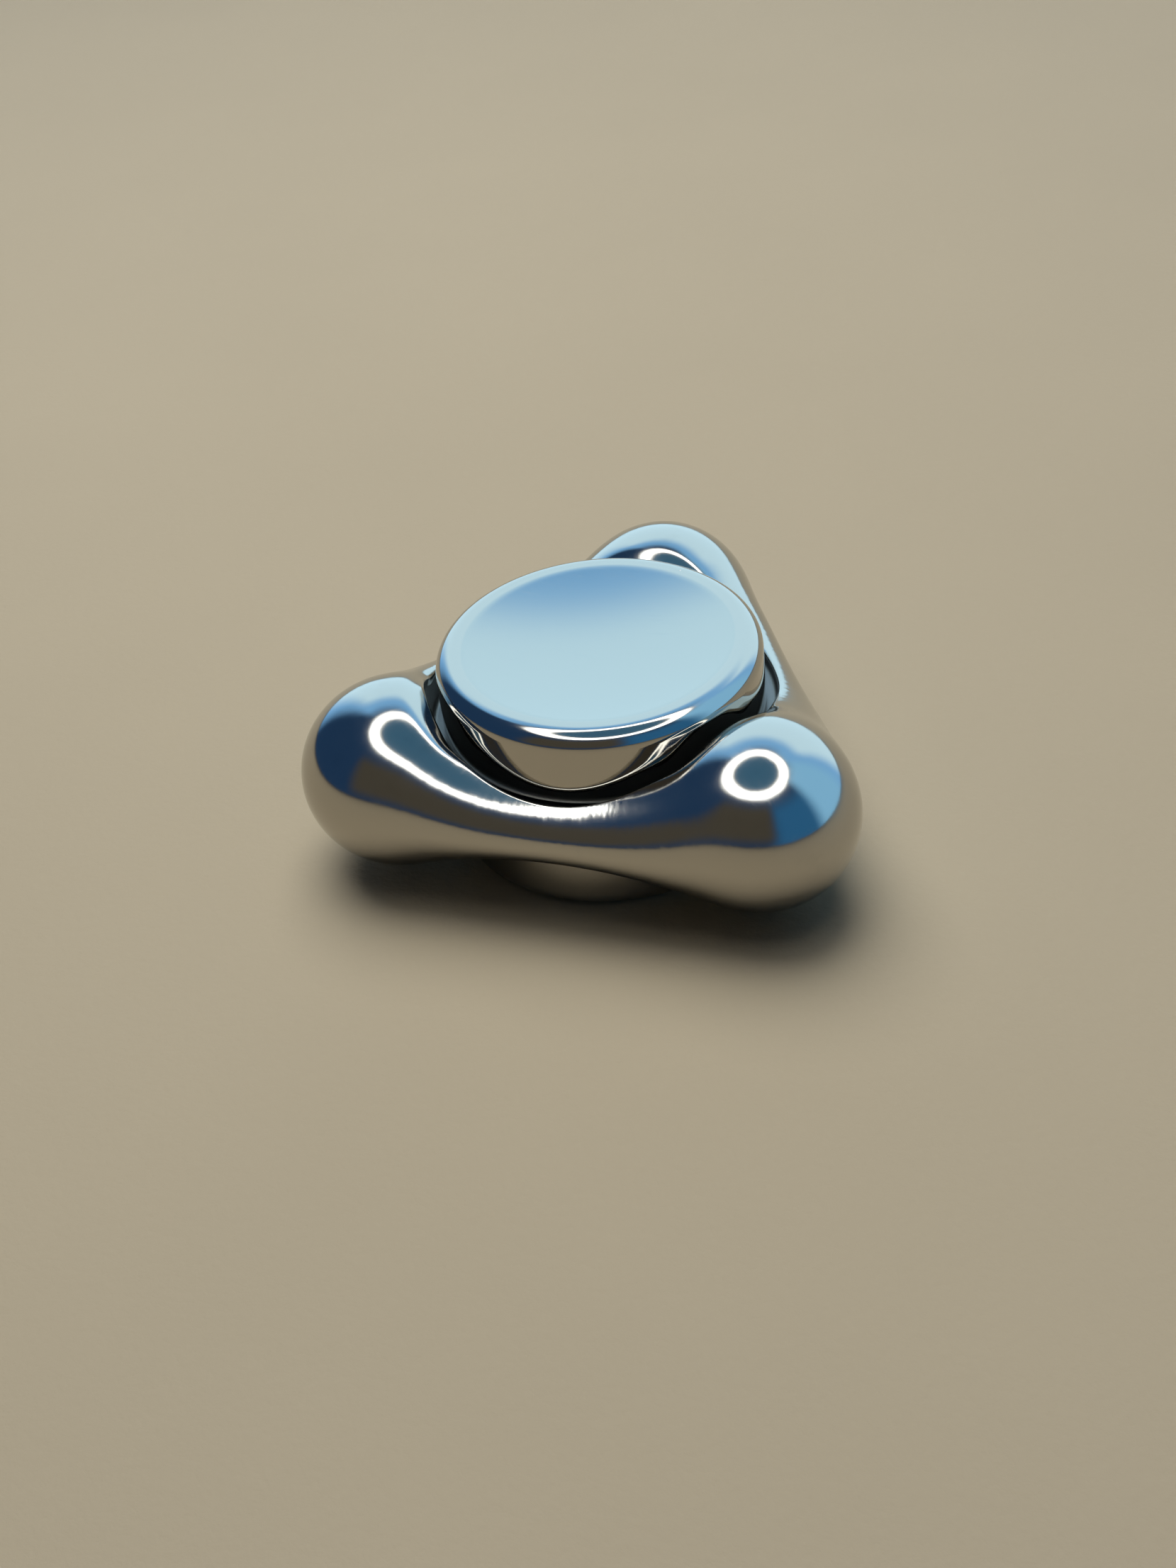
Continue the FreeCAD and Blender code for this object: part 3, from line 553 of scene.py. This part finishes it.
def cap_steel(finish, sizes):
    """Cap steel: satin dish with fine hairlines and dust, bright land, mirror edge and skirt."""
    material, shade, shader = metal("cap_steel", finish.mirror_colour)
    place, x, y, _ = shade.millimetres()
    radius, azimuth = shade.polar(x, y)
    dish = sizes.dish / MM
    land_end = (sizes.radius - sizes.edge) / MM
    outside = shade.band(radius, dish - 0.05, dish + 0.12)
    edge = shade.band(radius, land_end - 0.1, land_end + 0.35)
    lathe = shade.noise(shade.join(shade.math("MULTIPLY", radius, 9.0), azimuth, 0.0), 1.0, 3.0, 0.7)
    stretched = {"Vector": place, "Rotation": (0, 0, 0.6), "Scale": (0.35, 9, 1)}
    tilted = shade.node("ShaderNodeMapping", stretched)
    hairlines = shade.band(shade.noise(tilted.outputs[0], 1.1, 4.0, 0.7), 0.56, 0.72)
    cloud = shade.noise(place, 0.16, 3.0)
    satin = shade.math("MULTIPLY_ADD", hairlines, 0.10, finish.satin_gloss)
    satin = shade.math("MULTIPLY_ADD", cloud, 0.05, satin)
    land = shade.math("MULTIPLY_ADD", lathe, 0.06, 0.10)
    side = shade.band(radius, sizes.radius / MM - 0.12, sizes.radius / MM - 0.02, 0.0, -0.05)
    gloss = shade.math("MULTIPLY_ADD", hairlines, 0.02, shade.math("ADD", side, finish.mirror_gloss))
    rough = shade.node("ShaderNodeMix", {0: outside, 2: satin, 3: land}).outputs[0]
    rough = shade.node("ShaderNodeMix", {0: edge, 2: rough, 3: gloss}).outputs[0]
    dust_cells = shade.node("ShaderNodeTexVoronoi", {"Vector": place, "Scale": 0.55, "Randomness": 1.0})
    speck = shade.band(dust_cells.outputs["Distance"], 0.022, 0.05, 1.0, 0.0)
    few = shade.node("ShaderNodeSeparateColor", {0: dust_cells.outputs["Color"]}).outputs[0]
    speck = shade.math("MULTIPLY", speck, shade.math("GREATER_THAN", few, 0.72))
    dust = shade.math("MULTIPLY", speck, shade.math("SUBTRACT", 1.0, edge))
    shade.put(shader.inputs["Roughness"], shade.math("MAXIMUM", rough, shade.math("MULTIPLY", dust, 0.9)))
    steel = shade.mix(outside, colour(finish.satin_colour), colour(finish.mirror_colour))
    shade.put(shader.inputs["Base Color"], shade.mix(dust, steel, colour((0.9, 0.9, 0.88))))
    shade.put(shader.inputs["Metallic"], shade.math("SUBTRACT", 1.0, dust))
    inside = shade.math("SUBTRACT", 1.0, edge)
    lines = shade.math("MULTIPLY_ADD", hairlines, 0.6, lathe)
    lines = shade.math("MULTIPLY", lines, inside)
    shade.put(shader.inputs["Normal"], shade.bump(lines, 0.0007))
    return material


def ground_steel(name, base, roughness, lay=7.0, depth=0.0012):
    """Ground or turned steel with a fine lay round the axis and slight stains."""
    material, shade, shader = metal(name, base)
    place, x, y, z = shade.millimetres()
    radius, azimuth = shade.polar(x, y)
    lines = shade.join(shade.math("MULTIPLY", radius, lay), azimuth, shade.math("MULTIPLY", z, lay))
    grain = shade.noise(lines, 1.6, 4.0, 0.65)
    stain = shade.noise(place, 0.8, 4.0, 0.6)
    shade.put(shader.inputs["Roughness"], shade.math("MULTIPLY_ADD", grain, 0.16, roughness))
    stained = shade.band(stain, 0.5, 0.8, 0.0, 0.4)
    darker = [value * 0.7 for value in base]
    shade.put(shader.inputs["Base Color"], shade.mix(stained, colour(base), colour(darker)))
    shade.put(shader.inputs["Normal"], shade.bump(grain, depth))
    return material


def lapped_steel():
    """Lapped bearing balls: very smooth, with a breath of oil."""
    material, shade, shader = metal("lapped_steel", (0.80, 0.80, 0.81))
    place = shade.millimetres()[0]
    oil = shade.noise(place, 1.5, 3.0)
    shade.put(shader.inputs["Roughness"], shade.band(oil, 0.3, 0.8, 0.04, 0.12))
    shade.put(shader.inputs["Normal"], shade.bump(shade.noise(place, 9.0, 2.0), 0.0003))
    return material


def black_oxide(finish):
    """Black oxide on the stud, worn to steel in places."""
    material, shade, shader = metal("black_oxide", finish.black_colour)
    place = shade.millimetres()[0]
    wear = shade.band(shade.noise(place, 2.2, 5.0, 0.7), 0.58, 0.7)
    worn = colour((0.25, 0.25, 0.26))
    shade.put(shader.inputs["Base Color"], shade.mix(wear, colour(finish.black_colour), worn))
    shade.put(shader.inputs["Roughness"], shade.math("MULTIPLY_ADD", wear, -0.15, 0.5))
    shade.put(shader.inputs["Normal"], shade.bump(shade.noise(place, 12.0, 3.0), 0.003))
    return material


def finish_node(node, material):
    """Gives a kept CAD node its material."""
    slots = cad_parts[node].data.materials
    slots.clear()
    slots.append(material)


# ---------------------------------------------------------------- operators


class SPINNER_OT_body(Operator):
    """Builds the polished three-lobed body"""

    bl_idname = "spinner.body"
    bl_label = "Polished body"

    def execute(self, context):
        scene = context.scene
        piece = body_mesh(scene.spinner_body)
        piece.data.materials.append(mirror_steel(scene.spinner_finish))
        # Second material for the core: machined steel with a real ground lay and roughness. Its dark base
        # colour is painted shade in the recess and the gap under the caps.
        piece.data.materials.append(ground_steel("machined_steel_painted_shade", (0.24, 0.235, 0.22), 0.36, lay=5.0))
        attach(piece, "rotor")
        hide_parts("spinner_body")
        return {"FINISHED"}


class SPINNER_OT_caps(Operator):
    """Builds the upper and lower thumb caps"""

    bl_idname = "spinner.caps"
    bl_label = "Thumb caps"

    def execute(self, context):
        sizes = context.scene.spinner_cap
        steel = cap_steel(context.scene.spinner_finish, sizes)
        for node, flipped in (("top_cap", False), ("bottom_cap", True)):
            piece = cap_mesh(sizes, f"thumb_{node}", flipped)
            piece.data.materials.append(steel)
            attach(piece, "held_hub")
            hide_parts(node)
        return {"FINISHED"}


class SPINNER_OT_bearing(Operator):
    """Finishes the races, cage, balls and shields of the bearing"""

    bl_idname = "spinner.bearing"
    bl_label = "Bearing"

    def execute(self, context):
        race = ground_steel("race_steel", (0.60, 0.60, 0.61), 0.16)
        for node in ("bearing_inner_race", "bearing_outer_race"):
            finish_node(node, race)
        finish_node("bearing_cage", ground_steel("cage_steel", (0.56, 0.54, 0.50), 0.30, lay=3.0))
        sheet = ground_steel("sheet_steel", (0.64, 0.64, 0.65), 0.24, lay=4.0)
        for node in ("upper_shield", "lower_shield"):
            finish_node(node, sheet)
        balls = lapped_steel()
        for node in BALL_NODES:
            finish_node(node, balls)
        return {"FINISHED"}


class SPINNER_OT_fasteners(Operator):
    """Finishes the stud, the retaining clip and the shield wires"""

    bl_idname = "spinner.fasteners"
    bl_label = "Stud, clip and wires"

    def execute(self, context):
        finish_node("clamp_stud", black_oxide(context.scene.spinner_finish))
        spring = ground_steel("spring_steel", (0.40, 0.40, 0.41), 0.28, lay=2.0)
        for node in ("bearing_clip", "upper_shield_wire", "lower_shield_wire"):
            finish_node(node, spring)
        return {"FINISHED"}


class SPINNER_OT_stage(Operator):
    """Sets the floor, the backdrop, the soft panels and lamps, the ring lamp and the camera"""

    bl_idname = "spinner.stage"
    bl_label = "Stage"

    def execute(self, context):
        stage = context.scene.spinner_stage
        context.scene.view_settings.view_transform = "Standard"
        add_floor(stage)
        add_backdrop(stage)
        add_room_light(stage)
        add_soft_lamps(stage)
        add_ring_lamp(stage)
        add_camera(stage)
        return {"FINISHED"}


# ---------------------------------------------------------------- stage


def beside_view(stage, right, ahead, up):
    """A place given right of, ahead of and above the bearing, as the camera sees them."""
    turned = Matrix.Rotation(stage.azimuth, 3, "Z")
    return turned @ Vector((right, ahead, up))


def add_floor(stage):
    """A plain pale floor with a faint tooth, level with the lower cap's land."""
    bpy.ops.mesh.primitive_plane_add(size=FLOOR_SIZE, location=(0, 0, CAD_BOUNDS[0].z))
    floor = bpy.context.object
    floor.name = "floor"
    material = bpy.data.materials.new("pale_floor")
    material.use_nodes = True
    shade = Shading(material.node_tree)
    shader = material.node_tree.nodes["Principled BSDF"]
    shader.inputs["Roughness"].default_value = 0.75
    shader.inputs["Specular IOR Level"].default_value = 0.2
    place = shade.millimetres()[0]
    tooth = shade.noise(place, 1.4, 4.0, 0.6)
    cloud = shade.noise(place, 0.03, 3.0)
    paler = [min(1.0, value * 1.07) for value in stage.floor_colour]
    base = shade.mix(cloud, colour(stage.floor_colour), colour(paler))
    shade.put(shader.inputs["Base Color"], base)
    shade.put(shader.inputs["Normal"], shade.bump(tooth, 0.05))
    floor.data.materials.append(material)


def add_backdrop(stage):
    """A plain pale dome behind the floor for low views. The polish doesn't mirror it."""
    bpy.ops.mesh.primitive_uv_sphere_add(segments=64, ring_count=32, radius=BACKDROP_RADIUS)
    dome = bpy.context.object
    dome.name = "backdrop"
    dome.data.materials.append(glow_material("pale_backdrop", stage.floor_colour, 0.6))
    dome.visible_glossy = False
    dome.visible_diffuse = False
    dome.visible_shadow = False


def add_room_light(stage):
    """Soft light all round: softboxes, a blue card and a dark card that the polish mirrors.

    A panel's place is given as the camera sees it, so that it stays with the camera.
    """
    world = bpy.data.worlds.new("studio_room")
    bpy.context.scene.world = world
    world.use_nodes = True
    world.cycles_visibility.diffuse = False
    shade = Shading(world.node_tree)
    way = shade.node("ShaderNodeTexCoord").outputs["Generated"]
    x, y, z = shade.node("ShaderNodeSeparateXYZ", {0: way}).outputs
    flat = shade.polar(x, y)[0]
    rise = shade.math("ARCTAN2", z, flat)
    light = colour(STUDIO_DARK)
    for right, half_width, low, high, soft, glow in PANELS.values():
        heading = math.pi / 2 + stage.azimuth - math.radians(right)
        along = shade.math("MULTIPLY", x, math.cos(heading))
        along = shade.math("MULTIPLY_ADD", y, math.sin(heading), along)
        facing = shade.math("DIVIDE", along, flat)
        inner, outer = (math.cos(math.radians(half_width + side)) for side in (-soft, soft))
        sideways = shade.band(facing, outer, inner)
        above = shade.band(rise, math.radians(low - soft), math.radians(low + soft))
        below = shade.band(rise, math.radians(high - soft), math.radians(high + soft), 1.0, 0.0)
        share_of_panel = shade.math("MULTIPLY", shade.math("MULTIPLY", above, below), sideways)
        light = shade.mix(share_of_panel, light, colour(glow))
    shade.put(world.node_tree.nodes["Background"].inputs["Color"], light)


def add_soft_lamps(stage):
    """A soft key lamp behind the part and a wide fill lamp high above it."""
    add_soft_lamp(stage, "soft_key", place=(-0.04, 0.13, 0.36), width=0.36, power=stage.key_power)
    add_soft_lamp(stage, "soft_fill", place=(0.0, -0.05, 1.2), width=0.9, power=stage.fill_power)


def add_soft_lamp(stage, name, place, width, power):
    """A round lamp aimed at the bearing, its size in metres. The polish doesn't mirror it."""
    lamp = bpy.data.lights.new(name, "AREA")
    lamp.shape = "DISK"
    lamp.size = width
    lamp.energy = power
    lamp.color = (1.0, 0.98, 0.95)
    source = bpy.data.objects.new(name, lamp)
    source.location = beside_view(stage, *place)
    source.rotation_mode = "QUATERNION"
    source.rotation_quaternion = source.location.to_track_quat("Z", "Y")
    source.visible_glossy = False
    bpy.context.scene.collection.objects.link(source)


def add_ring_lamp(stage):
    """The ring lamp whose round reflection lies on the lobes, and its dim blue face."""
    white = glow_material("ring_lamp_glow", SOFT_WHITE, 0.0)
    shade = Shading(white.node_tree)
    _, x, y, _ = shade.millimetres()
    half_width = (stage.ring_outer - stage.ring_inner) / MM / 2
    off_middle = shade.math("SUBTRACT", shade.polar(x, y)[0], stage.ring_inner / MM + half_width)
    fade = shade.band(shade.math("ABSOLUTE", off_middle), half_width * 0.25, half_width, 6.0, 0.1)
    shade.put(white.node_tree.nodes["Principled BSDF"].inputs["Emission Strength"], fade)
    add_lamp_sheet(stage, "ring_lamp", stage.ring_inner, stage.ring_outer, white)
    blue = glow_material("lamp_face_glow", DIM_BLUE, 0.36)
    add_lamp_sheet(stage, "lamp_face", stage.ring_outer * 0.02, stage.ring_inner, blue)


def add_lamp_sheet(stage, name, inner, outer, material, around=96):
    """A flat glowing ring over the part that only the polish shows."""
    angle = np.arange(around) * math.tau / around
    radii = np.array([inner, outer])[:, None]
    x = radii * np.cos(angle)
    y = radii * np.sin(angle)
    points = np.stack([x, y, np.zeros_like(x)], -1).reshape(-1, 3)
    sheet = link_mesh(name, points, ring_quads(2, around)[:around])
    sheet.location = beside_view(stage, *stage.ring_place)
    lean = beside_view(stage, -0.06, -0.15, 1)
    sheet.rotation_mode = "QUATERNION"
    sheet.rotation_quaternion = lean.to_track_quat("Z", "Y")
    sheet.data.materials.append(material)
    sheet.visible_camera = False
    sheet.visible_diffuse = False
    sheet.visible_shadow = False


def glow_material(name, light, strength):
    """A material that glows and reflects nothing."""
    material = bpy.data.materials.new(name)
    material.use_nodes = True
    shader = material.node_tree.nodes["Principled BSDF"]
    shader.inputs["Base Color"].default_value = (0, 0, 0, 1)
    shader.inputs["Specular IOR Level"].default_value = 0.0
    shader.inputs["Emission Color"].default_value = colour(light)
    shader.inputs["Emission Strength"].default_value = strength
    return material


def add_camera(stage):
    """The camera, placed round the bearing by azimuth, elevation and roll."""
    data = bpy.data.cameras.new("studio_camera")
    data.lens = stage.lens
    data.sensor_width = 36.0
    data.clip_start = 0.001
    data.clip_end = 10.0
    camera = bpy.data.objects.new("studio_camera", data)
    rise = stage.elevation
    back = beside_view(stage, 0, -math.cos(rise), math.sin(rise))
    right = beside_view(stage, 1, 0, 0)
    up = back.cross(right)
    aim = right * stage.aim_right + up * stage.aim_up
    across = right * math.cos(stage.roll) + up * math.sin(stage.roll)
    upright = up * math.cos(stage.roll) - right * math.sin(stage.roll)
    pose = Matrix((across, upright, back)).transposed().to_4x4()
    pose.translation = aim + back * stage.distance
    camera.matrix_world = pose
    bpy.context.scene.collection.objects.link(camera)
    bpy.context.scene.camera = camera


# ---------------------------------------------------------------- panel and registration


class SPINNER_PT_studio(Panel):
    """Lists the pieces and their sizes in the sidebar"""

    bl_idname = "SPINNER_PT_studio"
    bl_label = "Pocket spinner"
    bl_space_type = "VIEW_3D"
    bl_region_type = "UI"
    bl_category = "Spinner"

    def draw(self, context):
        for title, owner, group in GROUPS:
            box = self.layout.box()
            box.label(text=title)
            for name in group.__annotations__:
                box.prop(getattr(context.scene, owner), name)
        for operator in OPERATORS:
            self.layout.operator(operator.bl_idname)


GROUPS = (
    ("Body", "spinner_body", SpinnerBodySizes),
    ("Caps", "spinner_cap", SpinnerCapSizes),
    ("Finish", "spinner_finish", SpinnerFinish),
    ("Stage", "spinner_stage", SpinnerStage),
)
OPERATORS = (
    SPINNER_OT_body,
    SPINNER_OT_caps,
    SPINNER_OT_bearing,
    SPINNER_OT_fasteners,
    SPINNER_OT_stage,
)


def register():
    """Registers the property groups, operators and panel."""
    for _, owner, group in GROUPS:
        bpy.utils.register_class(group)
        setattr(bpy.types.Scene, owner, PointerProperty(type=group))
    for item in (*OPERATORS, SPINNER_PT_studio):
        bpy.utils.register_class(item)


def unregister():
    """Removes everything that register added."""
    for item in (SPINNER_PT_studio, *reversed(OPERATORS)):
        bpy.utils.unregister_class(item)
    for _, owner, group in reversed(GROUPS):
        delattr(bpy.types.Scene, owner)
        bpy.utils.unregister_class(group)


def main():
    """Builds every piece and the stage."""
    register()
    bpy.ops.spinner.body()
    bpy.ops.spinner.caps()
    bpy.ops.spinner.bearing()
    bpy.ops.spinner.fasteners()
    bpy.ops.spinner.stage()


if __name__ == "__main__":
    main()
